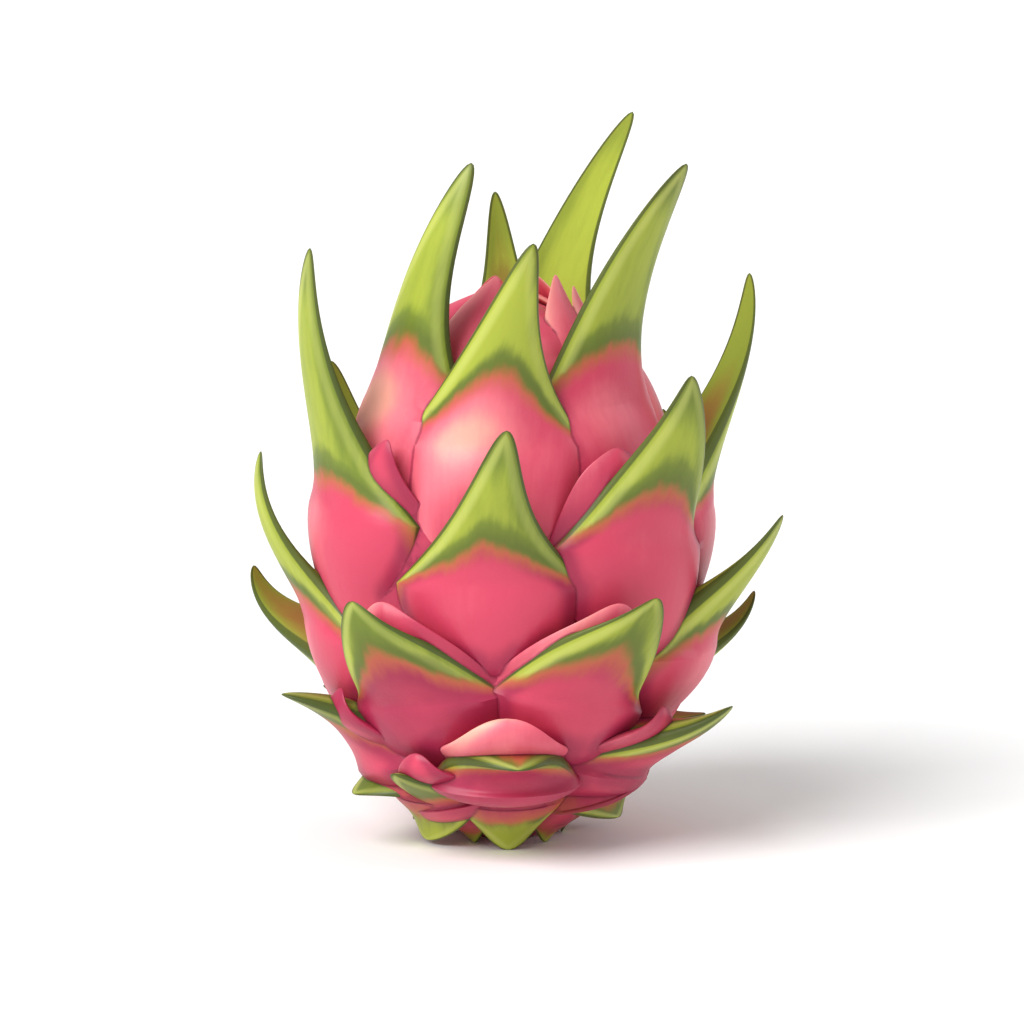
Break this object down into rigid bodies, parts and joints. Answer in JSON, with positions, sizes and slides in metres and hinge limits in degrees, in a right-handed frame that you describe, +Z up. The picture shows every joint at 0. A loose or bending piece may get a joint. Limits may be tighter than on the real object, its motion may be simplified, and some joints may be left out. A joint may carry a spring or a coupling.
{
  "type": "dragon fruit",
  "caption": "Whole ripe dragon fruit standing upright: a round pink body lapped with fleshy green-tipped scales that rise into long curved spikes round the crown.",
  "frame": {"origin": "middle of the stem scar, the small flat spot that the fruit stands on", "axes": "+Z up through the fruit from the stem scar to the crown; -Y towards the side that is seen from the front; +X to its right"},
  "size_m": [0.1161, 0.1088, 0.1547],
  "materials": {
    "peel": "waxy, leathery skin, pink with green scale tips"
  },
  "bodies": {
    "root": {"dragon_fruit": "peel"}
  },
  "joints": []
}
